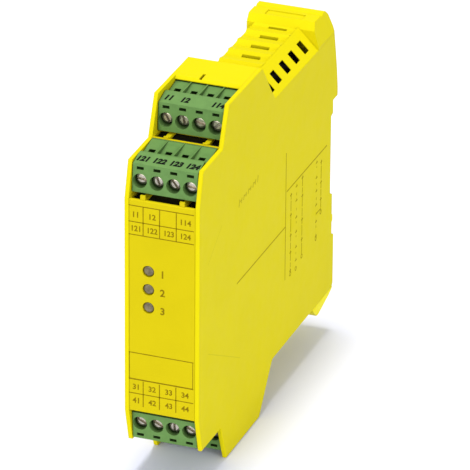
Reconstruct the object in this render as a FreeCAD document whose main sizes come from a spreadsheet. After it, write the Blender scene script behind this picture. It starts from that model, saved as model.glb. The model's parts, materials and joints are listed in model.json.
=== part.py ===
import FreeCAD, Part
import Sketcher
import math
import os

V = FreeCAD.Vector
doc = FreeCAD.newDocument("safety_relay")

# Frame: x across the module, y towards the rail, z up.
# The origin is the centre of the rail seat. Depths in the sheet are
# measured back from the front panel and turned into y with Y().
CELLS = [
    ("module_width", 22.5, "width of the module on the rail"),
    ("side_wall", 1.25, "side wall thickness"),
    ("seat_depth", 110.9, "front panel to rail seat"),
    ("hook_depth", 114.5, "front panel to back of hook"),
    ("foot_depth", 112.6, "front panel to the rear edge beside the foot latch"),
    ("shell_wall", 1.5, "wall of roof, floor and cover"),
    ("panel_half", 33.3, "half height of the front panel"),
    ("shelf_half", 44.5, "half height of the rear tier's shelf"),
    ("tier_a_front", 2.8, "depth of the wall corner, front tier"),
    ("tier_a_back", 18.0, "depth of the wall step, front tier"),
    ("tier_a_half", 44.0, "half height at the front tier"),
    ("tier_b_front", 22.7, "depth of the wall corner, rear tier"),
    ("full_half", 56.0, "half of the total height"),
    ("platform_front", 35.6, "depth of the platform's front edge"),
    ("shoulder", 49.4, "depth of the platform's rear edge"),
    ("shoulder_foot", 60.4, "depth where the side wall comes down"),
    ("body_half", 41.9, "half height of the flat side face"),
    ("ramp_foot", 57.0, "depth where the inner ramp meets the roof"),
    ("roof_low", 47.3, "height of the louvre valleys"),
    ("roof_high", 48.6, "height of the louvre ridges"),
    ("roof_flat", 48.4, "height of the roof's near edge"),
    ("chamfer_edge", 4.75, "x of the roof's near edge"),
    ("louvre_pitch", 7.4, "pitch of the louvres"),
    ("louvre_first", 58.6, "depth of the first louvre valley"),
    ("vent_pitch", 7.5, "pitch of the side vents"),
    ("vent_first", 61.2, "depth of the first side vent"),
    ("vent_wide", 3.05, "side vent along the depth"),
    ("floor_end", 94.2, "depth where the louvred floor ends"),
    ("hump_base", 97.0, "depth of the foot of the hump"),
    ("hump_front", 98.7, "depth of the hump's front edge"),
    ("hump_rear", 107.6, "depth of the hump's rear edge"),
    ("hump_half", 49.9, "height of the hump"),
    ("hook_low", 20.3, "height of the hook's lower face"),
    ("rail_half", 17.5, "half height of the rail"),
    ("plug_half", 9.75, "half width of a plug"),
    ("tongue_half", 8.8, "half width of a plug's tongue"),
    ("pole_pitch", 5.0, "pitch of the poles"),
    ("tier_step_d", 19.7, "depth from front tier to rear tier"),
    ("tier_step_h", 10.4, "height from front tier to rear tier"),
    ("face_low", 34.8, "plug face, lower edge"),
    ("face_depth", 1.9, "plug face, depth at its lower edge"),
    ("plug_top", 44.5, "plug, top face"),
    ("plug_back", 17.6, "plug, rear of the block"),
    ("tongue_back", 26.5, "plug, rear of the tongue"),
    ("screw_level", 38.2, "height of the screw axes"),
    ("screw_head_r", 1.8, "screw head radius"),
    ("screw_shank_r", 1.45, "screw shank radius"),
    ("screw_bore_r", 2.12, "recess for the screw head, radius"),
    ("cage_half", 1.9, "half width of a clamp cage"),
    ("pin_size", 0.8, "header pin, square"),
    ("pin_level", 39.3, "height of the pins"),
    ("lamp_r", 1.65, "indicator radius"),
    ("lamp_hole_r", 1.75, "indicator hole radius"),
    ("lamp_x", -4.1, "x of the indicators"),
    ("lamp_z", 5.9, "height of the middle indicator"),
    ("lamp_pitch", 5.7, "pitch of the indicators"),
    ("board_x", -9.7, "outer face of the main board"),
    ("board_thick", 1.6, "board thickness"),
]
sheet = doc.addObject("Spreadsheet::Sheet", "dims")
VALUE = {}
for row, (alias, value, note) in enumerate(CELLS, 1):
    sheet.set("A%d" % row, note)
    sheet.set("B%d" % row, "%g" % value)
    sheet.setAlias("B%d" % row, alias)
    VALUE[alias] = value
doc.recompute()


class Dim:
    """A length with its value and the sheet expression that gives it."""

    def __init__(self, value, text):
        self.v = float(value)
        self.e = text

    def _w(self, other):
        return other if isinstance(other, Dim) else Dim(other, "%.6g" % other)

    def __add__(self, o):
        o = self._w(o)
        return Dim(self.v + o.v, "(%s + %s)" % (self.e, o.e))

    __radd__ = __add__

    def __sub__(self, o):
        o = self._w(o)
        return Dim(self.v - o.v, "(%s - %s)" % (self.e, o.e))

    def __rsub__(self, o):
        return self._w(o) - self

    def __mul__(self, o):
        o = self._w(o)
        return Dim(self.v * o.v, "(%s * %s)" % (self.e, o.e))

    __rmul__ = __mul__

    def __neg__(self):
        return Dim(-self.v, "(-%s)" % self.e)


def D(alias):
    return Dim(VALUE[alias], "dims." + alias)


def val(a):
    return a.v if isinstance(a, Dim) else float(a)


def Y(depth):
    """y of a depth behind the front panel."""
    return depth - D("seat_depth")


HALF = D("module_width") * 0.5
INNER = HALF - D("side_wall")
WALL = D("shell_wall")


def bind(obj, prop, a):
    if isinstance(a, Dim):
        obj.setExpression(prop, a.e)


class BodyMaker:
    """A PartDesign body made of pads, pockets and grooves on its own planes."""

    def __init__(self, label):
        self.b = doc.addObject("PartDesign::Body", "body_" + label)
        self.b.Label = label
        self.n = 0

    def sketch(self, role, offset):
        self.n += 1
        sk = self.b.newObject("Sketcher::SketchObject", "%s_sk%d" % (self.b.Label, self.n))
        plane = [f for f in self.b.Origin.OriginFeatures if f.Role == role][0]
        sk.AttachmentSupport = [(plane, "")]
        sk.MapMode = "FlatFace"
        sk.AttachmentOffset = FreeCAD.Placement(V(0, 0, val(offset)), FreeCAD.Rotation())
        bind(sk, "AttachmentOffset.Base.z", offset)
        return sk

    def loops(self, sk, polys=(), circles=()):
        for pts in polys:
            base = sk.GeometryCount
            n = len(pts)
            for i in range(n):
                a, c = pts[i], pts[(i + 1) % n]
                sk.addGeometry(Part.LineSegment(V(val(a[0]), val(a[1]), 0), V(val(c[0]), val(c[1]), 0)), False)
            for i in range(n):
                sk.addConstraint(Sketcher.Constraint("Coincident", base + i, 2, base + (i + 1) % n, 1))
            for i in range(n):
                for kind, a in (("DistanceX", pts[i][0]), ("DistanceY", pts[i][1])):
                    k = sk.addConstraint(Sketcher.Constraint(kind, -1, 1, base + i, 1, val(a)))
                    if isinstance(a, Dim):
                        sk.setExpression("Constraints[%d]" % k, a.e)
        for cx, cy, r in circles:
            g = sk.addGeometry(Part.Circle(V(val(cx), val(cy), 0), V(0, 0, 1), val(r)), False)
            for kind, a in (("DistanceX", cx), ("DistanceY", cy)):
                k = sk.addConstraint(Sketcher.Constraint(kind, -1, 1, g, 3, val(a)))
                if isinstance(a, Dim):
                    sk.setExpression("Constraints[%d]" % k, a.e)
            k = sk.addConstraint(Sketcher.Constraint("Radius", g, val(r)))
            if isinstance(r, Dim):
                sk.setExpression("Constraints[%d]" % k, r.e)

    def feature(self, kind, role, lo, hi, polys, circles):
        # lo and hi are along the plane's normal: +x for YZ, -y for XZ, +z for XY
        sk = self.sketch(role, lo if kind == "Pad" else hi)
        self.loops(sk, polys, circles)
        f = self.b.newObject("PartDesign::" + kind, "%s_%s%d" % (self.b.Label, kind.lower(), self.n))
        f.Profile = sk
        length = hi - lo
        f.Length = val(length)
        bind(f, "Length", length)
        sk.Visibility = False
        return f

    def pad_x(self, x0, x1, polys=(), circles=()):
        return self.feature("Pad", "YZ_Plane", x0, x1, polys, circles)

    def cut_x(self, x0, x1, polys=(), circles=()):
        return self.feature("Pocket", "YZ_Plane", x0, x1, polys, circles)

    def pad_y(self, y0, y1, polys=(), circles=()):
        return self.feature("Pad", "XZ_Plane", -1 * y1, -1 * y0, polys, circles)

    def cut_y(self, y0, y1, polys=(), circles=()):
        return self.feature("Pocket", "XZ_Plane", -1 * y1, -1 * y0, polys, circles)

    def pad_z(self, z0, z1, polys=(), circles=()):
        return self.feature("Pad", "XY_Plane", z0, z1, polys, circles)

    def cut_z(self, z0, z1, polys=(), circles=()):
        return self.feature("Pocket", "XY_Plane", z0, z1, polys, circles)

    def cut_along(self, z, length, direction, polys):
        """Cut polygons drawn at height z along a slanting direction."""
        f = self.cut_z(z - 1.0, z, polys)
        f.UseCustomVector = True
        f.Direction = V(*direction)
        f.Length = length
        f.setExpression("Length", None)
        return f

    def revolve_y(self, pts, kind="Revolution"):
        # profile given as (radius, y) on the XY plane, turned about the y axis
        sk = self.sketch("XY_Plane", 0)
        self.loops(sk, [pts])
        f = self.b.newObject("PartDesign::" + kind, "%s_rev%d" % (self.b.Label, self.n))
        f.Profile = sk
        axis = [a for a in self.b.Origin.OriginFeatures if a.Role == "Y_Axis"][0]
        f.ReferenceAxis = (axis, [""])
        f.Angle = 360.0
        return f

    def soften(self, kind, size, test):
        """Fillet or chamfer the edges that test() picks on the tip's shape."""
        doc.recompute()
        tip = self.b.Tip
        names = ["Edge%d" % (i + 1) for i, e in enumerate(tip.Shape.Edges) if test(e)]
        if not names:
            raise RuntimeError(self.b.Label + ": no edge to soften")
        f = self.b.newObject("PartDesign::" + kind, "%s_%s%d" % (self.b.Label, kind.lower(), self.n))
        f.Base = (tip, names)
        if kind == "Fillet":
            f.Radius = size
        else:
            f.Size = size
        doc.recompute()
        return f


def rect(a0, b0, a1, b1):
    return [(a0, b0), (a1, b0), (a1, b1), (a0, b1)]


PARTS = []


def keep(obj):
    PARTS.append(obj)
    return obj


def mirror_z(pts):
    return [(a, -1 * b) for a, b in reversed(pts)]


def place(obj, x=0.0, y=0.0, z=0.0, flip=False):
    """Move a finished piece; flip turns it half a turn about y, for the lower rows."""
    rot = FreeCAD.Rotation(V(0, 1, 0), 180 if flip else 0)
    obj.Placement = FreeCAD.Placement(V(val(x), val(y), val(z)), rot)
    bind(obj, "Placement.Base.x", x)
    bind(obj, "Placement.Base.y", y)
    bind(obj, "Placement.Base.z", z)
    return obj


# ---------------------------------------------------------------- housing
top_wall = [
    (Y(0), D("panel_half")),
    (Y(D("tier_a_front")), D("tier_a_half")),
    (Y(D("tier_a_back")), D("tier_a_half") + 0.2),
    (Y(D("tier_b_front")), D("full_half")),
    (Y(D("shoulder")), D("full_half")),
    (Y(D("shoulder_foot")), D("body_half")),
]
# rear outline of a side wall, from the top down to the lower corner
rear_wall = [
    (Y(110.9), D("body_half")),
    (Y(112.2), 36.2),
    (Y(113.6), 29.4),
    (Y(D("hook_depth")), 23.0),
    (Y(D("hook_depth")), D("hook_low")),
    (Y(110.7), D("hook_low")),
    (Y(110.7), 16.2),
    (Y(109.1), 15.6),
    (Y(109.1), -9.6),
    (Y(110.9), -10.6),
    (Y(110.9), -23.7),
    (Y(D("foot_depth")), -24.6),
    (Y(D("foot_depth")), -40.8),
    (Y(D("foot_depth") - 0.9), -1 * D("body_half")),
]
side_outline = top_wall + rear_wall + mirror_z(top_wall)

# roof profile between the walls: ramp, louvre teeth, foot of the hump
roof = [(Y(D("platform_front")), D("full_half") - 0.8), (Y(D("platform_front") + 0.8), D("full_half")), (Y(D("shoulder")), D("full_half")), (Y(D("ramp_foot")), D("roof_flat"))]
for k in range(5):
    d = D("louvre_first") + D("louvre_pitch") * k
    roof.append((Y(d), D("roof_low")))
    roof.append((Y(d + 1.6), D("roof_high")))
floor = roof + [(Y(D("floor_end")), D("roof_low"))]
roof = roof + [(Y(D("louvre_first") + D("louvre_pitch") * 5), D("roof_low")), (Y(D("hump_base")), D("roof_low") + 0.4)]

outer = roof + [(Y(D("hump_base")), D("body_half"))] + rear_wall + [(Y(D("floor_end")), -1 * D("body_half"))] + mirror_z(floor)

inner_top = [
    (Y(D("platform_front") - 2.0), D("full_half") - 1.0),
    (Y(D("platform_front") + 3.5), D("full_half") - 1.0),
    (Y(D("platform_front") + 3.5), D("full_half") - WALL),
    (Y(D("shoulder") - 0.6), D("full_half") - WALL),
    (Y(D("ramp_foot") - 0.7), D("roof_low") - 1.2),
]
inner_low = mirror_z(inner_top + [(Y(D("floor_end") - WALL), D("roof_low") - 1.2)])
cavity = inner_top + [
    (Y(D("hump_base") + 0.4), D("roof_low") - 1.2),
    (Y(D("hump_base") + 0.4), D("body_half") - WALL),
    (Y(109.1), D("body_half") - WALL),
    (Y(110.7), 36.0),
    (Y(112.1), 29.2),
    (Y(113.0), 23.0),
    (Y(113.0), 21.8),
    (Y(107.6), 21.8),
    (Y(107.6), -15.8),
    (Y(104.6), -17.0),
    (Y(104.6), -1 * (D("body_half") - WALL)),
    (Y(D("floor_end") - WALL), -1 * (D("body_half") - WALL)),
] + inner_low

hb = BodyMaker("housing_body")
hb.pad_x(-1 * HALF, -1 * INNER, [side_outline])
hb.pad_x(-1 * INNER, INNER, [outer])
# the roof and floor also close the gap above the far wall
hb.pad_x(-1 * HALF, -1 * INNER, [
    [(Y(D("shoulder")), D("full_half")), (Y(D("ramp_foot") + 1.4), 46.6), (Y(D("hump_base")), 46.6), (Y(D("hump_base")), 40.0), (Y(50.0), 40.0)],
    [(Y(50.0), -40.0), (Y(D("floor_end")), -40.0), (Y(D("floor_end")), -46.6), (Y(D("ramp_foot") + 1.4), -46.6), (Y(D("shoulder")), -1 * D("full_half"))],
])
hb.cut_x(-1 * INNER, INNER, [cavity])
# hump across the full width at the top rear
hump = [
    (Y(D("hump_base")), D("body_half")), (Y(D("hump_base")), D("roof_low") + 0.4), (Y(D("hump_front")), D("hump_half")),
    (Y(D("hump_rear")), D("hump_half")), (Y(109.2), 48.4), (Y(110.6), 44.3), (Y(110.9), D("body_half")),
]
hb.pad_x(-1 * HALF, HALF, [hump])
# the hump's near end leans in
hb.cut_y(Y(D("hump_base") - 0.5), Y(112.0), [[(HALF + 0.5, 42.6), (HALF, 42.6), (HALF - 2.0, D("hump_half") + 0.5), (HALF + 0.5, D("hump_half") + 0.5)]])
# the near edge of roof and floor gives way to the side cover's sloping edge
hb.cut_z(D("body_half"), 51.0, [rect(D("chamfer_edge"), Y(D("ramp_foot")), INNER + 0.5, Y(D("hump_base")))])
hb.cut_z(-51.0, -1 * D("body_half"), [rect(D("chamfer_edge"), Y(D("ramp_foot")), INNER + 0.5, Y(D("floor_end")))])
hb.cut_x(D("chamfer_edge"), INNER + 0.5, [
    rect(Y(D("ramp_foot")), 38.0, Y(D("hump_base") - 0.01), D("body_half") + 0.1),
    rect(Y(D("ramp_foot")), -1 * (D("body_half") + 0.1), Y(D("floor_end") - 0.01), -38.0),
])
# small slope on the far edge of the roof and floor, thickened from inside
fill = [(-10.4, 43.9), (-7.6, 46.9), (-10.4, 46.9)]
hb.pad_y(Y(D("ramp_foot")), Y(D("hump_base")), [fill])
hb.pad_y(Y(D("ramp_foot")), Y(D("floor_end")), [mirror_z(fill)])
far = [(-1 * HALF - 0.5, 43.6), (-8.6, 48.0), (-8.6, 51.0), (-1 * HALF - 0.5, 51.0)]
hb.cut_y(Y(D("ramp_foot") + 2.6), Y(D("hump_base")), [far])
hb.cut_y(Y(D("ramp_foot") + 2.6), Y(D("floor_end")), [mirror_z(far)])
# hollow of the hump
hb.cut_x(-1 * INNER, INNER - 1.7, [[
    (Y(D("hump_base") + 2.2), D("body_half") - 2.0), (Y(D("hump_front") + 1.0), D("hump_half") - WALL),
    (Y(D("hump_rear") - 1.0), D("hump_half") - WALL), (Y(107.8), 46.4), (Y(109.1), 42.8), (Y(109.1), D("body_half") - 2.0),
]])
# vents in the roof and floor, one at the foot of each louvre
vents = [rect(-3.9, Y(D("louvre_first") + D("louvre_pitch") * k - 0.8), 1.7, Y(D("louvre_first") + D("louvre_pitch") * k + 0.6)) for k in range(2, 6)]
hb.cut_z(44.0, 50.0, vents)
hb.cut_z(-50.0, -44.0, vents[:3])
# groove across the hump and shallow panel in front of it
hb.cut_x(-1 * HALF - 0.5, HALF + 0.5, [[(Y(103.6), D("hump_half") + 0.01), (Y(104.1), D("hump_half") - 0.45), (Y(105.0), D("hump_half") - 0.45), (Y(105.6), D("hump_half") + 0.01)]])
hb.cut_z(D("hump_half") - 0.35, D("hump_half") + 0.5, [rect(-6.5, Y(99.4), 5.2, Y(102.6))])
# slot for a marker clip in each platform
hb.cut_z(54.0, 57.0, [rect(-2.9, Y(36.2), -2.1, Y(39.8))])
hb.cut_z(-57.0, -54.0, [rect(2.1, Y(36.2), 2.9, Y(39.8))])
# claw behind the rail's upper flange, and the rib that carries the seat
hb.pad_x(-8.0, 8.0, [[(Y(112.3), 21.5), (Y(112.3), 16.0), (Y(113.6), 16.0), (Y(114.5), 17.4), (Y(114.5), 21.5)]])
hb.pad_x(-4.0, 4.0, [rect(Y(108.6), -10.2, Y(110.9), 15.8)])
# channel of the foot latch, with the peg that carries its spring
hb.cut_x(-8.2, 8.2, [rect(Y(105.9), -43.0, Y(D("foot_depth") + 0.4), -1 * (D("rail_half") + 0.1))])
hb.pad_x(-1.8, 1.8, [rect(Y(104.9), -36.0, Y(110.2), -34.4)])
keep(hb.b)

# side cover: flat near wall with a sloping slotted edge above and below
sc = BodyMaker("side_cover")
sc.pad_x(INNER, HALF, [side_outline])
edge = [
    (HALF, D("body_half")), (D("chamfer_edge"), D("roof_flat")), (D("chamfer_edge"), D("roof_flat") - 2.1),
    (INNER, D("body_half") - 0.85), (INNER, D("body_half") - 2.0), (HALF, D("body_half") - 2.0),
]
sc.pad_y(Y(D("ramp_foot") + 0.05), Y(D("hump_base") - 0.05), [edge])
sc.pad_y(Y(D("ramp_foot") + 0.05), Y(D("floor_end") - 0.05), [mirror_z(edge)])
# five louvre slots in each sloping edge: corners on the slope, carried back along
# the slant to the sketch plane 50 mm up. The front slot clears the side wall.


def slot_corner(x, depth, slant):
    run = (x - (D("chamfer_edge").v + D("roof_flat").v - 50.0)) / -slant[2]
    return (x - slant[0] * run, Y(depth) - slant[1] * run)


def slot_outline(k, x1, slant):
    d = D("vent_first") + D("vent_pitch") * k
    w = D("vent_wide") * 0.5
    e = d + w + (0.7 if k == 0 else 0.0)
    return [slot_corner(6.95, d - w, slant), slot_corner(x1, d - w, slant), slot_corner(x1, e, slant), slot_corner(6.95, e, slant)]


for slant, x1, ks in (((0.0, 0.888, -0.46), 9.95, (0,)), ((-0.315, 0.843, -0.436), 9.7, (1, 2, 3, 4))):
    polys = [slot_outline(k, x1, slant) for k in ks]
    sc.cut_along(50.0, 21.0, slant, polys)
    sc.cut_along(-50.0, 21.0, (slant[0], slant[1], -slant[2]), polys)
sc.soften("Fillet", 0.4, lambda e: e.Length > 5.0 and all(abs(v.X - HALF.v) < 1e-4 and v.Y < Y(D("shoulder") + 0.01).v for v in e.Vertexes))
keep(sc.b)

# front cover: stepped skin between the walls
step_d = D("tier_step_d")
step_h = D("tier_step_h")
lip = D("panel_half")
shelf = D("shelf_half")
steps = [
    (Y(0), -1 * lip), (Y(0), lip),
    (Y(17.9), lip), (Y(17.9), shelf), (Y(17.9) + step_d, shelf), (Y(17.9) + step_d, D("full_half") - 1.55),
]
hollow = [
    (Y(17.9) + step_d + 1.2, D("full_half") - 1.55), (Y(17.9) + step_d + 1.2, shelf - 0.9), (Y(17.9) + 1.2, shelf - 0.9),
    (Y(17.9) + 1.2, lip - 0.9), (Y(WALL), lip - 0.9),
]
fc_outline = steps + hollow + mirror_z(hollow) + mirror_z(steps[1:])[:-1]
fc = BodyMaker("front_cover")
fc.pad_x(-1 * INNER, INNER, [fc_outline])
# indicator holes
fc.cut_y(Y(-1.0), Y(3.0), circles=[(D("lamp_x"), D("lamp_z") + D("lamp_pitch") * k, D("lamp_hole_r")) for k in (-1, 0, 1)])
for sgn in (1, -1):
    for dd, hh in ((0.0, 0.0), (1, 1)):
        d0 = step_d * dd
        z0 = shelf if hh else lip
        # window for the plug's tongue
        a, b = 35.8 + step_h * hh, 43.5 + step_h * hh
        win = [rect(-9.5, a, 9.5, b)] if sgn > 0 else [rect(-9.5, -1 * b, 9.5, -1 * a)]
        fc.cut_y(Y(17.0) + d0, Y(20.5) + d0, win)
        # slots in front of the plug's lower edge, with two webs left between them
        fx = [(-9.7, -6.7), (-5.2, 5.1), (6.6, 9.7)]
        front = 0.9 if hh == 0 else 18.7 - 19.7
        slots = [rect(x0, Y(front) + d0, x1, Y(front + 5.8) + d0) for x0, x1 in fx]
        if sgn < 0:
            slots = [rect(-1 * x1, Y(front) + d0, -1 * x0, Y(front + 5.8) + d0) for x0, x1 in fx]
        zz = (z0 - 3.0, z0 + 0.5) if sgn > 0 else (-1 * (z0 + 0.5), -1 * (z0 - 3.0))
        fc.cut_z(zz[0], zz[1], slots)
        # low tabs that stand on the rim in front of the webs; the lower front rim is plain
        if sgn < 0 and hh == 0:
            continue
        stand = 0.5 if hh else 1.3
        tabs = [rect(x0, Y(front - 0.5) + d0, x1, Y(front + 0.2) + d0) for x0, x1 in ((-6.7, -5.2), (5.1, 6.6))]
        if sgn < 0:
            tabs = [rect(-1 * x1, Y(front - 0.5) + d0, -1 * x0, Y(front + 0.2) + d0) for x0, x1 in ((-6.7, -5.2), (5.1, 6.6))]
        zz = (z0 - 0.6, z0 + stand) if sgn > 0 else (-1 * (z0 + stand), -1 * (z0 - 0.6))
        fc.pad_z(zz[0], zz[1], tabs)
fc.soften("Fillet", 0.35, lambda e: e.Length > 15 and all(abs(v.Y - Y(0).v) < 1e-4 and abs(abs(v.Z) - lip.v) < 1e-4 for v in e.Vertexes))
keep(fc.b)

# indicators: lens, body and foot on the main board
for k in (-1, 0, 1):
    ind = BodyMaker("indicator_%d" % (2 - k))
    zc = D("lamp_z") + D("lamp_pitch") * k
    ind.pad_y(Y(0.25), Y(6.6), circles=[(D("lamp_x"), zc, D("lamp_r"))])
    ind.pad_y(Y(6.5), Y(9.2), [rect(D("board_x") + D("board_thick"), zc - 1.7, -2.4, zc + 1.7)])
    ind.soften("Fillet", 0.6, lambda e: all(abs(v.Y - Y(0.25).v) < 1e-4 for v in e.Vertexes))
    keep(ind.b)

# ---------------------------------------------------------------- boards
bx0 = D("board_x")
bx1 = bx0 + D("board_thick")
mb = BodyMaker("main_board")
mb.pad_x(bx0, bx1, [[
    (Y(6.0), -31.0), (Y(29.6), -31.0), (Y(29.6), -43.0), (Y(90.0), -43.0), (Y(90.0), -38.5), (Y(103.5), -38.5),
    (Y(103.5), 38.5), (Y(90.0), 38.5), (Y(90.0), 43.0), (Y(29.6), 43.0), (Y(29.6), 31.0), (Y(6.0), 31.0),
]])
keep(mb.b)
lb = BodyMaker("logic_board")
lb.pad_x(7.0, 8.6, [rect(Y(12.0), -29.0, Y(34.0), 29.0)])
keep(lb.b)


def boxes_feature(label, boxes):
    """A group of separate solids, each a union of plain bars read from the sheet's values."""
    solids = []
    for group in boxes:
        s = None
        for (x0, y0, z0), (x1, y1, z1) in group:
            b = Part.makeBox(val(x1) - val(x0), val(y1) - val(y0), val(z1) - val(z0), V(val(x0), val(y0), val(z0)))
            s = b if s is None else s.fuse(b)
        s = s.removeSplitter()
        solids.append(s.Solids[0])
    f = doc.addObject("Part::Feature", label)
    f.Label = label
    f.Shape = Part.makeCompound(solids) if len(solids) > 1 else solids[0]
    return f


links = []
for i in range(10):
    z = -11.43 + 2.54 * i
    links.append([((bx1, Y(31.0), z - 0.32), (7.0, Y(31.64), z + 0.32))])
keep(boxes_feature("board_link_pins", links))

for n, sgn in ((1, 1), (2, -1)):
    r = BodyMaker("guided_relay_%d" % n)
    z0, z1 = (6.0, 36.0) if sgn > 0 else (-36.0, -6.0)
    r.pad_x(bx1, 7.6, [rect(Y(62.0), z0, Y(101.0), z1)])
    r.soften("Fillet", 0.8, lambda e: all(abs(v.X - 7.6) < 1e-4 for v in e.Vertexes))
    keep(r.b)
tr = BodyMaker("power_transformer")
tr.pad_x(bx1, 6.4, [rect(Y(37.0), 10.0, Y(58.0), 32.0)])
tr.soften("Chamfer", 1.0, lambda e: all(abs(v.X - 6.4) < 1e-4 for v in e.Vertexes))
keep(tr.b)
cap = doc.addObject("Part::Cylinder", "reservoir_capacitor")
cap.Label = "reservoir_capacitor"
cap.Radius = 5.0
cap.Height = 20.0
cap.Placement = FreeCAD.Placement(V(0, 0, -31.0), FreeCAD.Rotation())
bind(cap, "Placement.Base.x", bx1 + 5.05)
bind(cap, "Placement.Base.y", Y(46.0))
keep(cap)

# ---------------------------------------------------------------- rows of terminals
ROWS = [
    ("upper_front", False, 0, 0),
    ("upper_rear", False, 1, 1),
    ("lower_front", True, 0, 0),
    ("lower_rear", True, 1, 1),
]


def pole_x(i):
    return D("pole_pitch") * (i - 1.5)


pins = []
for row, flip, dd, hh in ROWS:
    dy = step_d * dd
    dz = step_h * hh
    hd = BodyMaker("header_" + row)
    hd.pad_y(Y(19.6), Y(28.6), [rect(-9.4, 36.0, 9.4, 43.4)])
    hd.cut_y(Y(19.0), Y(27.2), [rect(-9.0, 36.4, 9.0, 43.0)])
    hd.cut_y(Y(27.0), Y(29.0), [rect(pole_x(i) - 0.42, D("pin_level") - 0.42, pole_x(i) + 0.42, D("pin_level") + 0.42) for i in range(4)])
    if not hh:
        # apron that closes the space under the slots of the front tier
        lo, hi = (-7.8, 9.4) if not flip else (-9.4, 7.8)
        hd.pad_x(lo, hi, [[
            (Y(1.9), 31.3), (Y(20.9), 31.3), (Y(20.9), 36.2), (Y(19.6), 36.2), (Y(19.6), 32.3), (Y(1.9), 32.3),
        ]])
        hd.pad_x(-9.4, 9.4, [rect(Y(1.9), 31.3, Y(5.7), 32.3)])
    place(hd.b, 0.0, dy, (-1 * dz) if flip else dz, flip)
    keep(hd.b)
    s = -1 if flip else 1
    for i in range(4):
        # order the poles so that the pin nearest the board has the shortest run
        x = pole_x(i)
        p = 0.4
        zc = s * (D("pin_level") + dz)
        yb = Y(28.8) + dy + 1.0 * i
        run = [((x - p, Y(20.4) + dy, zc - p), (x + p, yb + 2 * p, zc + p))]
        if hh:
            z_board = 41.8 * s
            lo, hi = (z_board - p, zc.v + p) if s > 0 else (zc.v - p, z_board + p)
            run.append(((x - p, yb, lo), (x + p, yb + 2 * p, hi)))
            run.append(((bx1, yb, z_board - p), (x + p, yb + 2 * p, z_board + p)))
        else:
            run.append(((bx1, yb, zc - p), (x + p, yb + 2 * p, zc + p)))
        pins.append(run)
keep(boxes_feature("header_pins", pins))

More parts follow.
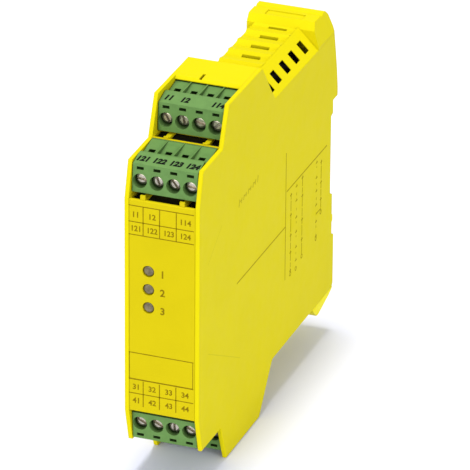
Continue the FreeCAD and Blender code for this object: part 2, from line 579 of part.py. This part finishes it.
SLOT_ANGLE = {
    "upper_rear": (62, 78, 12, -40),
    "upper_front": (8, 68, 52, 5),
    "lower_front": (25, 25, 88, 25),
    "lower_rear": (35, 70, 15, 50),
}
cage_lo, cage_hi = 36.5, 40.9
for row, flip, dd, hh in ROWS:
    dy = step_d * dd
    dz = step_h * hh
    zpos = (-1 * dz) if flip else dz
    pg = BodyMaker("plug_" + row)
    pg.pad_x(-1 * D("plug_half"), D("plug_half"), [[
        (Y(D("face_depth")), D("face_low")), (Y(D("face_depth") + 0.75), D("plug_top") - 1.3), (Y(D("face_depth") + 5.6), D("plug_top")),
        (Y(D("plug_back")), D("plug_top")), (Y(D("plug_back")), D("face_low")),
    ]])
    pg.pad_x(-1 * D("tongue_half"), D("tongue_half"), [rect(Y(D("plug_back") - 1.0), 36.7, Y(D("tongue_back")), 42.6)])
    # recess of each screw head, then the collar that holds the shank
    pg.cut_y(Y(1.0), Y(5.6), circles=[(pole_x(i), D("screw_level"), D("screw_bore_r")) for i in range(4)])
    pg.cut_y(Y(4.5), Y(7.6), circles=[(pole_x(i), D("screw_level"), D("screw_shank_r") + 0.08) for i in range(4)])
    # chamber of each cage, open below, and the channel of its contact
    pg.cut_z(34.0, 41.1, [rect(pole_x(i) - D("cage_half") - 0.15, Y(7.0), pole_x(i) + D("cage_half") + 0.15, Y(15.9)) for i in range(4)])
    pg.cut_z(34.0, 40.6, [rect(pole_x(i) - 1.3, Y(15.0), pole_x(i) + 1.3, Y(17.4)) for i in range(4)])
    pg.cut_y(Y(16.4), Y(27.0), [rect(pole_x(i) - 1.3, 38.0, pole_x(i) + 1.3, 40.6) for i in range(4)])
    # wire entry: wide mouth with a sloping floor, narrow throat down to the cage
    mouth = [(Y(8.3), 45.0), (Y(8.3), 43.7), (Y(10.2), 43.2), (Y(17.3), 44.4), (Y(17.3), 45.0)]
    for i in range(4):
        pg.cut_x(pole_x(i) - 2.3, pole_x(i) + 2.3, [mouth])
    pg.cut_along(44.4, 4.6, (0.0, 0.646, -0.763), [rect(pole_x(i) - 0.95, Y(9.9), pole_x(i) + 0.95, Y(11.5)) for i in range(4)])
    # test slit above each screw
    pg.cut_y(Y(2.0), Y(4.8), [rect(pole_x(i) - 1.05, 41.55, pole_x(i) + 1.05, 42.4) for i in range(4)])
    place(pg.b, 0.0, dy, zpos, flip)
    keep(pg.b)

    # contact forks: bar in front of the wire, run below the cage, two blades for the pin
    forks = []
    for i in range(4):
        x = pole_x(i)
        forks.append([
            ((x - 1.1, Y(12.0), 35.6), (x + 1.1, Y(12.8), 40.9)),
            ((x - 1.1, Y(12.0), 35.6), (x + 1.1, Y(17.2), 36.3)),
            ((x - 1.1, Y(16.5), 35.6), (x + 1.1, Y(17.2), 40.3)),
            ((x - 1.0, Y(16.5), 39.8), (x + 1.0, Y(25.4), 40.3)),
            ((x - 1.0, Y(16.5), 38.3), (x + 1.0, Y(25.4), 38.8)),
        ])
    ct = boxes_feature("contacts_" + row, forks)
    ct.Placement = FreeCAD.Placement(V(0, val(dy) if dd else 0.0, val(zpos)), FreeCAD.Rotation(V(0, 1, 0), 180 if flip else 0))
    keep(ct)

    for i in range(4):
        # poles are numbered from the left as seen from the front
        x = pole_x(i)
        sc1 = BodyMaker("screw_%s_%d" % (row, i + 1))
        # turned about its own y axis; the seat of the head is at depth 5.5
        sc1.revolve_y([
            (0.0, Y(3.8)), (1.1, Y(3.8)), (D("screw_head_r") - 0.15, Y(4.0)), (D("screw_head_r"), Y(4.3)), (D("screw_head_r"), Y(5.5)),
            (D("screw_shank_r"), Y(5.5)), (D("screw_shank_r"), Y(11.5)), (D("screw_shank_r") - 0.4, Y(11.9)), (0.0, Y(11.9)),
        ])
        slot = [(-3.0, -0.38), (3.0, -0.38), (3.0, 0.38), (-3.0, 0.38)]
        sc1.cut_y(Y(2.5), Y(4.85), [slot])
        b = sc1.b
        zz = zpos + ((-1 * D("screw_level")) if flip else D("screw_level"))
        b.Placement = FreeCAD.Placement(V(val(x), val(dy), val(zz)), FreeCAD.Rotation(V(0, 1, 0), SLOT_ANGLE[row][i]))
        bind(b, "Placement.Base.x", x)
        bind(b, "Placement.Base.y", dy)
        bind(b, "Placement.Base.z", zz)
        keep(b)
        cg = BodyMaker("cage_%s_%d" % (row, i + 1))
        ch = D("cage_half")
        cg.pad_z(cage_lo, cage_hi, [rect(-1 * ch, Y(9.4), ch, Y(15.6))])
        cg.cut_z(cage_lo - 1, cage_hi + 1, [rect(-1 * ch + 0.6, Y(10.7), ch - 0.6, Y(14.9))])
        cg.cut_y(Y(9.0), Y(14.9), circles=[(0.0, D("screw_level"), D("screw_shank_r") + 0.06)])
        place(cg.b, x, dy, zpos, flip)
        keep(cg.b)

# ---------------------------------------------------------------- foot latch
fl = BodyMaker("foot_latch")
fl.pad_x(-7.9, 7.9, [rect(Y(106.1), -42.4, Y(110.75), -17.9)])
# nose behind the rail's lower flange
fl.pad_x(-11.0, 11.0, [[(Y(111.05), -20.2), (Y(111.9), -20.2), (Y(112.3), -19.8), (Y(112.3), -18.0), (Y(111.05), -18.0)]])
fl.pad_x(-7.9, 7.9, [[(Y(110.0), -21.5), (Y(113.3), -20.4), (Y(114.3), -19.2), (Y(114.3), -16.6), (Y(113.9), -16.0), (Y(112.3), -16.0), (Y(112.3), -17.9), (Y(110.0), -17.9)]])
# foot across the module below the housing, with the eye for a screwdriver
foot = [(Y(94.8), -42.1), (Y(103.4), -48.2), (Y(105.4), -48.6), (Y(111.4), -44.6), (Y(D("foot_depth")), -43.0), (Y(D("foot_depth")), -42.1)]
fl.pad_x(-11.15, 11.15, [foot])
for sx in (1, -1):
    fl.cut_y(Y(94.0), Y(113.5), [[(sx * 11.6, -42.3), (sx * 11.15, -42.3), (sx * 9.3, -48.9), (sx * 11.6, -48.9)]])
fl.cut_z(-50.0, -41.0, [rect(-3.2, Y(98.4), 3.2, Y(101.6))])
# window that holds the spring
fl.cut_x(-2.2, 2.2, [rect(Y(105.0), -36.2, Y(110.3), -24.0)])
keep(fl.b)

# spring: closed coil swept along a helix, standing on the housing's peg
helix = Part.makeHelix(1.7, 9.6, 1.45)
profile = Part.Wire([Part.makeCircle(0.24, V(1.45, 0, 0), V(0, 1, 0.18))])
coil = Part.Wire(helix).makePipeShell([profile], True, False)
spring = doc.addObject("Part::Feature", "latch_spring")
spring.Label = "latch_spring"
spring.Shape = coil
spring.Placement = FreeCAD.Placement(V(0, val(Y(108.0)), -34.12), FreeCAD.Rotation())
keep(spring)

# ---------------------------------------------------------------- check and write
doc.recompute()
bad = [o.Name for o in doc.Objects if "Invalid" in o.State or "Error" in o.State]
for o in doc.Objects:
    if o.TypeId == "PartDesign::Pocket" and o.Name not in bad:
        if not o.Shape.Volume < o.BaseFeature.Shape.Volume - 1e-6:
            bad.append(o.Name + " (cut nothing)")
if bad:
    raise RuntimeError("failed objects: " + ", ".join(bad))
os.makedirs("parts", exist_ok=True)
names = set()
for obj in PARTS:
    shape = obj.Shape
    if shape.isNull() or not shape.isValid() or not shape.Solids:
        raise RuntimeError("bad shape: " + obj.Label)
    if obj.Label in names:
        raise RuntimeError("name used twice: " + obj.Label)
    names.add(obj.Label)
for obj in PARTS:
    obj.Shape.exportStep("parts/%s.step" % obj.Label)
    print(obj.Label, len(obj.Shape.Solids), round(obj.Shape.Volume, 2))
print(len(PARTS), "parts")
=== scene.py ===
import json
import math

import bmesh
import bpy
from mathutils import Matrix, Vector


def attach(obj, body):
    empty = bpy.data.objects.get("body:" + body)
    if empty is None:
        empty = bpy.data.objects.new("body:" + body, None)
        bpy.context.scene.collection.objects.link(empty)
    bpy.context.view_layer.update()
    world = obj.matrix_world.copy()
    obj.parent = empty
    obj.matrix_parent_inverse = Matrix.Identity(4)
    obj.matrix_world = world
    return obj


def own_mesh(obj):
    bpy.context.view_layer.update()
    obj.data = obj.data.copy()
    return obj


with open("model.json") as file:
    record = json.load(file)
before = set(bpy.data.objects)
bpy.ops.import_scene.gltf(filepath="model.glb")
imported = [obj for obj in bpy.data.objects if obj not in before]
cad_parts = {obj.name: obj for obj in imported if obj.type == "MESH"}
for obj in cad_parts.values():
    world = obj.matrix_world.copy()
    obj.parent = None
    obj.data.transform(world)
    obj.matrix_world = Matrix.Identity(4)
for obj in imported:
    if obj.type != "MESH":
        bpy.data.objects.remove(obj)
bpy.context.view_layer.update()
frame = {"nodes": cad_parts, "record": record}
NODES = frame["nodes"]
MM = 0.001
SEAT = 110.9          # front panel to rail seat, mm
ROWS = ("upper_front", "upper_rear", "lower_front", "lower_rear")


def lin(r, g, b):
    """Linear colour of a display colour given as 0 to 255."""
    out = []
    for c in (r, g, b):
        c /= 255.0
        out.append(c / 12.92 if c <= 0.04045 else ((c + 0.055) / 1.055) ** 2.4)
    return (*out, 1.0)


# ---------------------------------------------------------------- materials
class Nodes:
    def __init__(self, name):
        self.m = bpy.data.materials.new(name)
        self.m.use_nodes = True
        self.t = self.m.node_tree
        self.t.nodes.clear()
        self.out = self.t.nodes.new("ShaderNodeOutputMaterial")
        self.b = self.t.nodes.new("ShaderNodeBsdfPrincipled")
        self.t.links.new(self.b.outputs[0], self.out.inputs[0])
        self.coord = self.t.nodes.new("ShaderNodeTexCoord").outputs["Object"]

    def link(self, a, b):
        self.t.links.new(a, b)

    def set(self, **kw):
        for k, v in kw.items():
            self.b.inputs[k.replace("_", " ")].default_value = v

    def noise(self, scale, detail=2.0, rough=0.5, stretch=None):
        n = self.t.nodes.new("ShaderNodeTexNoise")
        n.inputs["Scale"].default_value = scale
        n.inputs["Detail"].default_value = detail
        n.inputs["Roughness"].default_value = rough
        src = self.coord
        if stretch:
            mp = self.t.nodes.new("ShaderNodeMapping")
            mp.inputs["Scale"].default_value = stretch
            self.link(self.coord, mp.inputs[0])
            src = mp.outputs[0]
        self.link(src, n.inputs["Vector"])
        return n.outputs["Fac"]

    def ramp(self, fac, stops):
        r = self.t.nodes.new("ShaderNodeValToRGB")
        e = r.color_ramp.elements
        while len(e) > 1:
            e.remove(e[-1])
        e[0].position, e[0].color = stops[0]
        for p, c in stops[1:]:
            x = e.new(p)
            x.color = c
        self.link(fac, r.inputs[0])
        return r.outputs[0]

    def span(self, fac, lo, hi, a=0.3, b=0.7):
        r = self.t.nodes.new("ShaderNodeMapRange")
        r.inputs["From Min"].default_value = a
        r.inputs["From Max"].default_value = b
        r.inputs["To Min"].default_value = lo
        r.inputs["To Max"].default_value = hi
        self.link(fac, r.inputs["Value"])
        return r.outputs["Result"]

    def bump(self, height, strength, distance, soft=0.0):
        n = self.t.nodes.new("ShaderNodeBump")
        if soft:
            # shading of a small edge radius
            e = self.t.nodes.new("ShaderNodeBevel")
            e.samples = 6
            e.inputs["Radius"].default_value = soft
            self.link(e.outputs[0], n.inputs["Normal"])
        n.inputs["Strength"].default_value = strength
        n.inputs["Distance"].default_value = distance
        self.link(height, n.inputs["Height"])
        self.link(n.outputs[0], self.b.inputs["Normal"])
        return n

    def mix(self, fac, a, b):
        n = self.t.nodes.new("ShaderNodeMix")
        n.data_type = "RGBA"
        for sock, v in ((n.inputs[0], fac), (n.inputs[6], a), (n.inputs[7], b)):
            if hasattr(v, "is_output"):
                self.link(v, sock)
            else:
                sock.default_value = v
        return n.outputs[2]


def scaled(c, k):
    return (*(min(1.0, x * k) for x in c[:3]), 1.0)


def plastic(name, colour, rough=0.42, grain=0.10, vary=0.03, spec=0.2, grain_mm=0.22, cloud_mm=18.0, soft_mm=0.0, ao_shade_mm=0.0, ao_shade_level=0.4):
    """Moulded plastic: faint flow clouds in the colour, spark-eroded grain in the surface, and optional painted shade
    that darkens the colour in recesses through an ambient occlusion mask.
    """
    n = Nodes(name)
    cloud = n.noise(1.0 / (cloud_mm * MM), 3.0, 0.55)
    tone = n.ramp(cloud, [(0.25, scaled(colour, 1 - vary)), (0.5, colour), (0.78, scaled(colour, 1 + vary * 0.6))])
    if ao_shade_mm:
        # painted shade: where ambient occlusion finds nearby geometry within the given reach, the base colour is
        # darkened toward a shade colour, so recesses, slots and corners read as shaded
        ao = n.t.nodes.new("ShaderNodeAmbientOcclusion")
        ao.samples = 8
        ao.inputs["Distance"].default_value = ao_shade_mm * MM
        tone = n.mix(n.span(ao.outputs["AO"], 0.0, 1.0, 0.35, 0.85), n.mix(0.5, scaled(colour, ao_shade_level), scaled(colour, ao_shade_level)), tone)
    n.link(tone, n.b.inputs["Base Color"])
    fine = n.noise(1.0 / (grain_mm * MM), 2.0, 0.6)
    n.link(n.span(n.noise(1.0 / (4.0 * MM), 2.0), rough - 0.05, rough + 0.06), n.b.inputs["Roughness"])
    n.bump(fine, grain, 0.00003, soft_mm * MM)
    n.set(Specular_IOR_Level=spec)
    return n.m


def metal(name, colour, rough=0.3, spin=True, vary=0.10, metallic=1.0):
    """Plated metal with fine turning or drawing marks and a slightly clouded plating."""
    n = Nodes(name)
    cloud = n.noise(1.0 / (1.2 * MM), 3.0, 0.6)
    n.link(n.ramp(cloud, [(0.25, scaled(colour, 1 - vary)), (0.55, colour), (0.8, scaled(colour, 1 + vary * 0.4))]), n.b.inputs["Base Color"])
    marks = n.noise(1.0 / (0.25 * MM), 2.0, 0.5, stretch=(1.0, 1.0, 6.0) if spin else (6.0, 1.0, 1.0))
    n.link(n.span(marks, rough - 0.08, rough + 0.12), n.b.inputs["Roughness"])
    n.bump(marks, 0.12, 0.00002)
    n.set(Metallic=metallic)
    return n.m


YELLOW = (0.645, 0.558, 0.0045, 1.0)
# painted highlight: the foot latch yellow is lighter and more saturated than the housing, so the latch's facet reads
# as brightly lit
LATCH_PAINTED_BRIGHT = (0.84, 0.75, 0.003, 1.0)
PANEL = (0.540, 0.442, 0.0025, 1.0)
GREEN = (0.108, 0.222, 0.056, 1.0)

mat_yellow = plastic("yellow_housing_plastic", YELLOW, rough=0.42, grain=0.10, vary=0.02, spec=0.012, soft_mm=0.35)
mat_panel = plastic("yellow_panel_plastic", PANEL, rough=0.50, grain=0.14, vary=0.03, cloud_mm=9.0, spec=0.04, soft_mm=0.25)
# the latch material carries that painted highlight
mat_latch_painted_bright = plastic("yellow_latch_painted_bright", LATCH_PAINTED_BRIGHT, rough=0.44, grain=0.10, vary=0.03, spec=0.012, soft_mm=0.3)
# the green plastic carries painted shade in its recesses, reaching 2.2 mm and darkening down to 30 % of its colour
mat_green = plastic("green_terminal_plastic", GREEN, rough=0.48, grain=0.20, vary=0.12, spec=0.15, grain_mm=0.18, cloud_mm=2.6, soft_mm=0.18, ao_shade_mm=2.2, ao_shade_level=0.30)
mat_header = plastic("black_header_plastic", (0.006, 0.0065, 0.006, 1.0), rough=0.6, grain=0.15, vary=0.06, grain_mm=0.2, cloud_mm=5.0)
mat_screw = metal("zinc_plated_screw", (0.50, 0.455, 0.365, 1.0), rough=0.36, vary=0.22)
mat_cage = metal("nickel_plated_cage", (0.70, 0.69, 0.66, 1.0), rough=0.34, spin=False)
mat_contact = metal("tinned_contact", (0.83, 0.78, 0.66, 1.0), rough=0.30, spin=False)
mat_spring = metal("spring_wire", (0.62, 0.62, 0.62, 1.0), rough=0.28)


def lens_material():
    n = Nodes("smoked_lens")
    fade = n.noise(1.0 / (1.6 * MM), 2.0, 0.5)
    n.link(n.ramp(fade, [(0.3, scaled(lin(98, 86, 52), 0.72)), (0.7, scaled(lin(140, 128, 92), 0.72))]), n.b.inputs["Base Color"])
    n.link(n.span(n.noise(1.0 / (0.5 * MM), 2.0), 0.16, 0.30), n.b.inputs["Roughness"])
    n.bump(n.noise(1.0 / (0.3 * MM), 1.0), 0.06, 0.00002)
    return n.m


def board_material():
    """Green solder mask over a grid of copper tracks that show as paler lines."""
    n = Nodes("circuit_board")
    t = n.t
    vor = t.nodes.new("ShaderNodeTexBrick")
    vor.inputs["Scale"].default_value = 260.0
    vor.inputs["Mortar Size"].default_value = 0.045
    vor.inputs["Color1"].default_value = (0.010, 0.085, 0.030, 1)
    vor.inputs["Color2"].default_value = (0.014, 0.105, 0.036, 1)
    vor.inputs["Mortar"].default_value = (0.045, 0.23, 0.075, 1)
    mp = t.nodes.new("ShaderNodeMapping")
    mp.inputs["Rotation"].default_value = (0, math.pi / 2, 0)
    n.link(n.coord, mp.inputs[0])
    n.link(mp.outputs[0], vor.inputs["Vector"])
    n.link(n.mix(n.span(n.noise(1.0 / (6 * MM), 2.0), 0.0, 0.25), vor.outputs["Color"], (0.02, 0.12, 0.05, 1)), n.b.inputs["Base Color"])
    n.link(n.span(n.noise(1.0 / (1.5 * MM), 2.0), 0.22, 0.36), n.b.inputs["Roughness"])
    n.bump(vor.outputs["Fac"], 0.2, 0.00003)
    return n.m


mat_lens = lens_material()
mat_board = board_material()
mat_relay = plastic("relay_case_plastic", (0.010, 0.010, 0.011, 1.0), rough=0.45, grain=0.08, vary=0.03)
mat_potting = plastic("transformer_potting", (0.016, 0.016, 0.018, 1.0), rough=0.3, grain=0.2, vary=0.25, grain_mm=0.5)
mat_can = plastic("capacitor_sleeve", (0.030, 0.032, 0.045, 1.0), rough=0.26, grain=0.05, vary=0.15)

BY_SLOT = {
    "yellow_plastic": mat_yellow, "panel_plastic": mat_panel, "latch_plastic": mat_latch_painted_bright, "green_plastic": mat_green,
    "header_plastic": mat_header, "screw_steel": mat_screw, "cage_steel": mat_cage, "contact_metal": mat_contact,
    "lens": mat_lens, "board": mat_board, "relay_case": mat_relay, "potting": mat_potting, "capacitor_can": mat_can,
    "spring_steel": mat_spring,
}
for part in frame["record"]["subparts"]:
    obj = NODES[part["node"]]
    for k in range(max(1, len(obj.material_slots))):
        if len(obj.material_slots) <= k:
            obj.data.materials.append(None)
        obj.material_slots[k].link = "OBJECT"
        obj.material_slots[k].material = BY_SLOT[part["material_slot"]]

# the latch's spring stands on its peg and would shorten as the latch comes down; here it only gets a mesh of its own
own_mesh(NODES["latch_spring"])


# ---------------------------------------------------------------- printed marks
def ink(name, dark, light, spec=0.06):
    n = Nodes(name)
    n.link(n.ramp(n.noise(1.0 / (0.7 * MM), 3.0, 0.6), [(0.3, dark), (0.7, light)]), n.b.inputs["Base Color"])
    n.link(n.span(n.noise(1.0 / (0.4 * MM), 1.0), 0.5, 0.65), n.b.inputs["Roughness"])
    n.bump(n.noise(1.0 / (0.15 * MM), 1.0), 0.05, 0.00001)
    n.set(Specular_IOR_Level=spec)
    return n.m


mat_ink_panel = ink("olive_panel_ink", scaled(lin(140, 116, 8), 0.68), scaled(lin(166, 144, 12), 0.68), spec=0.03)
mat_ink_side = ink("olive_side_ink", scaled(lin(168, 150, 12), 0.82), scaled(lin(184, 168, 16), 0.82), spec=0.012)
mat_ink_pale = ink("worn_side_ink", scaled(lin(176, 158, 20), 0.82), scaled(lin(206, 192, 26), 0.82), spec=0.012)
mat_ink_mark = ink("black_marker_ink", lin(4, 9, 4), lin(12, 22, 10))
mat_ink_faint = ink("mould_line", scaled(lin(212, 200, 30), 0.84), scaled(lin(216, 204, 34), 0.84), spec=0.012)


class Print:
    """Thin raised print on a plane: origin, two unit directions and an outward normal, in mm."""

    def __init__(self, origin, u, v, thick=0.02):
        self.o, self.u, self.v = Vector(origin), Vector(u).normalized(), Vector(v).normalized()
        self.n = self.u.cross(self.v).normalized()
        self.thick = thick
        self.bm = bmesh.new()

    def at(self, a, b, h):
        return (self.o + self.u * a + self.v * b + self.n * h) * MM

    def prism(self, pts):
        lo = [self.bm.verts.new(self.at(a, b, -0.004)) for a, b in pts]
        hi = [self.bm.verts.new(self.at(a, b, self.thick)) for a, b in pts]
        k = len(pts)
        self.bm.faces.new(hi)
        self.bm.faces.new(lo[::-1])
        for i in range(k):
            j = (i + 1) % k
            self.bm.faces.new((lo[i], lo[j], hi[j], hi[i]))

    def box(self, a0, b0, a1, b1):
        a0, a1 = sorted((a0, a1))
        b0, b1 = sorted((b0, b1))
        self.prism([(a0, b0), (a1, b0), (a1, b1), (a0, b1)])

    def line(self, a0, b0, a1, b1, w):
        d = Vector((a1 - a0, b1 - b0))
        s = Vector((-d.y, d.x)).normalized() * (w / 2)
        self.prism([(a0 - s.x, b0 - s.y), (a1 - s.x, b1 - s.y), (a1 + s.x, b1 + s.y), (a0 + s.x, b0 + s.y)])

    def ring(self, a, b, r, w, steps=20):
        for i in range(steps):
            t0, t1 = 2 * math.pi * i / steps, 2 * math.pi * (i + 1) / steps
            self.prism([(a + (r - w / 2) * math.cos(t0), b + (r - w / 2) * math.sin(t0)), (a + (r + w / 2) * math.cos(t0), b + (r + w / 2) * math.sin(t0)),
                        (a + (r + w / 2) * math.cos(t1), b + (r + w / 2) * math.sin(t1)), (a + (r - w / 2) * math.cos(t1), b + (r - w / 2) * math.sin(t1))])

    def digits(self, text, a, b, height, weight=0.0, lean=0.0, wide=1.0):
        """Plain digits, centred at (a, b)."""
        cu = bpy.data.curves.new("digits", "FONT")
        cu.body = text
        cu.align_x, cu.align_y = "CENTER", "CENTER"
        cu.size = 1.0
        cu.resolution_u = 3
        cu.offset = weight
        cu.shear = lean
        cu.extrude = 0.5
        ob = bpy.data.objects.new("digits", cu)
        bpy.context.scene.collection.objects.link(ob)
        bpy.context.view_layer.update()
        me = bpy.data.meshes.new_from_object(ob.evaluated_get(bpy.context.evaluated_depsgraph_get()))
        bpy.data.objects.remove(ob)
        bpy.data.curves.remove(cu)
        xs = [v.co.x for v in me.vertices]
        ys = [v.co.y for v in me.vertices]
        cx, cy = (min(xs) + max(xs)) / 2, (min(ys) + max(ys)) / 2
        k = height / (max(ys) - min(ys))
        for v in me.vertices:
            h = self.thick if v.co.z > 0 else -0.004
            v.co = self.at(a + (v.co.x - cx) * k * wide, b + (v.co.y - cy) * k, h)
        self.bm.from_mesh(me)
        bpy.data.meshes.remove(me)

    def make(self, name, material, body):
        me = bpy.data.meshes.new(name)
        bmesh.ops.recalc_face_normals(self.bm, faces=self.bm.faces)
        self.bm.to_mesh(me)
        self.bm.free()
        ob = bpy.data.objects.new(name, me)
        bpy.context.scene.collection.objects.link(ob)
        me.materials.append(material)
        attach(ob, body)
        return ob


# front panel: terminal tables, a blank label field and the numbers of the indicators
p = Print((0, -SEAT, 0), (1, 0, 0), (0, 0, 1))
LINE = 0.28
cols = (-5.65, -0.7, 4.3)
p.box(-10.0, 31.4 - LINE / 2, 9.6, 31.4 + LINE / 2)
p.box(-10.0, 26.4 - LINE / 2, 9.6, 26.4 + LINE / 2)
p.box(-10.0, 22.4 - LINE / 2, 9.6, 22.4 + LINE / 2)
for c in cols:
    p.box(c - LINE / 2, 22.5, c + LINE / 2, 31.3)
for i, text in enumerate(("11", "12", "", "114")):
    if text:
        p.digits(text, -7.9 + 5.0 * i + (0.1 if i else 0.0), 28.7, 1.75, weight=0.025, wide=1.0)
for i, text in enumerate(("121", "122", "123", "124")):
    p.digits(text, -7.9 + 5.0 * i + 0.1, 24.4, 1.75, weight=0.025, wide=0.95)
for i, text in enumerate(("1", "2", "3")):
    p.digits(text, 0.2, 11.3 - 5.75 * i, 2.3, weight=0.03)
p.box(-10.0, -14.7 - LINE / 2, 9.6, -14.7 + LINE / 2)
p.box(-10.0, -23.3, 9.6, -22.9)
p.box(-9.95, -23.0, -9.75, -14.7)
p.box(9.3, -23.0, 9.5, -14.7)
p.box(-10.0, -27.6 - LINE / 2, 9.6, -27.6 + LINE / 2)
for c in cols:
    p.box(c - LINE / 2, -31.6, c + LINE / 2, -23.5)
for i in range(4):
    p.digits("%d" % (31 + i), -7.9 + 5.0 * i, -25.5, 1.75, weight=0.025)
    p.digits("%d" % (41 + i), -7.9 + 5.0 * i, -29.8, 1.75, weight=0.025)
p.make("panel_print", mat_ink_panel, "housing")

# side cover: a plain contact diagram and the mould's faint lines
s = Print((11.25, -SEAT, 0), (0, 1, 0), (0, 0, 1))
W = 0.45
s.box(70.4 - W / 2, -20.7, 70.4 + W / 2, 20.4)
s.box(71.2, 7.65 - W / 2, 105.6, 7.65 + W / 2)
s.box(30.1, -3.35 - W / 2, 70.4, -3.35 + W / 2)
# broken columns of contact marks, their dashes spaced by a fixed list
DASH = (2.1, 0.7, 3.4, 0.9, 1.6, 0.6, 4.2, 0.8, 2.6, 0.7)
for k, (d, top, low, w) in enumerate(((74.9, 5.6, -20.0, 0.42), (79.6, 6.4, -20.4, 0.30), (84.6, 7.0, -18.6, 0.40), (96.9, 6.5, -18.4, 0.34), (100.9, 5.0, -11.4, 0.40))):
    z = top
    i = k
    while z > low:
        step = DASH[i % 10]
        s.box(d - w / 2, max(low, z - step), d + w / 2, z)
        if i % 4 == k % 4:
            s.box(d - 0.75, z - 0.9, d + 0.75, z - 0.45)
        z -= step + DASH[(i + 1) % 10] * 0.6
        i += 2
    s.ring(d, low - 0.7, 0.6, 0.4, 14)
s.box(96.9, -11.2, 100.9, -10.8)
s.make("side_diagram", mat_ink_side, "housing")
# worn strokes in the place that the photo's side mark takes
q = Print((11.25, -SEAT, 0), (0, 1, 0), (0, 0, 1), thick=0.012)
for k, (d, high) in enumerate(((31.4, 2.3), (33.3, 1.5), (35.1, 1.5), (37.0, 1.2), (38.8, 1.5), (40.7, 1.3), (42.6, 1.5), (44.5, 1.5), (46.4, 2.1))):
    z = 21.4 + 0.08 * (d - 31.2)
    q.line(d, z - high / 2, d + 0.5, z + high / 2, 0.55)
    if k % 2:
        q.line(d - 1.3, z + 0.1, d + 0.3, z + 0.2, 0.4)
q.make("side_strokes", mat_ink_pale, "housing")
f = Print((11.25, -SEAT, 0), (0, 1, 0), (0, 0, 1), thick=0.012)
f.line(7.2, -15.0, 33.2, -28.5, 0.28)
f.line(17.7, 20.7, 6.8, 13.2, 0.28)
f.make("mould_lines", mat_ink_faint, "housing")

# marker strips of the plugs: plain numbers on the slanted face above the screws
MARKS = {"upper_rear": ("11", "12", "", "114"), "upper_front": ("121", "122", "123", "124"),
         "lower_front": ("31", "32", "33", "34"), "lower_rear": ("41", "42", "43", "44")}
for row in ROWS:
    low = row.startswith("lower")
    back = row.endswith("rear")
    d0, z0 = (19.7, 10.4) if back else (0.0, 0.0)
    # the slant runs from (depth 2.65, height 43.2) to (depth 7.5, height 44.5)
    a = Vector((0, 2.65 + d0 - SEAT, 43.2 + z0))
    b = Vector((0, 7.5 + d0 - SEAT, 44.5 + z0))
    if low:
        a.z, b.z = -a.z, -b.z
        m = Print(b, (1, 0, 0), a - b)
    else:
        m = Print(a, (1, 0, 0), b - a)
    length = (b - a).length
    for i, text in enumerate(MARKS[row]):
        if text:
            m.digits(text, -7.5 + 5.0 * i, length * 0.5, 2.3, weight=0.06, lean=0.22, wide=0.92)
    m.make("marks_" + row, mat_ink_mark, "terminal_" + row)

# ---------------------------------------------------------------- floor, light, camera
floor_z = -56.0 * MM
me = bpy.data.meshes.new("floor")
bm = bmesh.new()
bmesh.ops.create_grid(bm, x_segments=4, y_segments=4, size=3.0)
for v in bm.verts:
    v.co.z = floor_z - 0.0002
bm.to_mesh(me)
bm.free()
floor = bpy.data.objects.new("floor", me)
bpy.context.scene.collection.objects.link(floor)
n = Nodes("studio_floor")
n.link(n.ramp(n.noise(3.0, 2.0), [(0.3, (0.755, 0.77, 0.90, 1)), (0.7, (0.765, 0.78, 0.91, 1))]), n.b.inputs["Base Color"])
n.set(Roughness=0.9, Specular_IOR_Level=0.1)
me.materials.append(n.m)

world = bpy.data.worlds.new("studio")
bpy.context.scene.world = world
world.use_nodes = True
world.node_tree.nodes["Background"].inputs[0].default_value = (1.0, 1.0, 1.0, 1.0)
world.node_tree.nodes["Background"].inputs[1].default_value = 0.62


def area(name, place, target, size, power):
    li = bpy.data.lights.new(name, "AREA")
    li.shape = "SQUARE"
    li.size = size
    li.energy = power
    ob = bpy.data.objects.new(name, li)
    bpy.context.scene.collection.objects.link(ob)
    ob.location = Vector(place)
    ob.rotation_mode = "QUATERNION"
    ob.rotation_quaternion = (Vector(target) - Vector(place)).to_track_quat("-Z", "Y")
    return ob


area("key", (-0.06, 0.04, 1.30), (0, -0.055, 0), 0.32, 13.0)
area("front", (-0.30, -1.60, 0.45), (0, -0.055, 0), 1.00, 12.6)
area("right", (1.40, -0.95, 0.50), (0, -0.055, 0), 0.80, 10.6)

# camera at the photograph's angle
AZ, EL, ROLL, DIST, TX, TZ, F = 20.46223, 25.84683, 0.43399, 1601.84482, 0.40481, -1.85955, 5520.73953
a, e, r = math.radians(AZ), math.radians(EL), math.radians(ROLL)
back = Vector((math.sin(a) * math.cos(e), -math.cos(a) * math.cos(e), math.sin(e)))
right = Vector((math.cos(a), math.sin(a), 0))
up = back.cross(right)
R = right * math.cos(r) + up * math.sin(r)
U = -right * math.sin(r) + up * math.cos(r)
target = Vector((0, 57.25 - SEAT, 0)) + R * TX + U * TZ
cam = bpy.data.cameras.new("camera")
cam.lens = F * 36.0 / 470.0
cam.sensor_width = 36.0
cam.clip_start, cam.clip_end = 0.05, 50.0
cam_ob = bpy.data.objects.new("camera", cam)
bpy.context.scene.collection.objects.link(cam_ob)
M = Matrix((R, U, back)).transposed().to_4x4()
M.translation = (target + back * DIST) * MM
cam_ob.matrix_world = M
bpy.context.scene.camera = cam_ob
bpy.context.scene.view_settings.view_transform = "Standard"
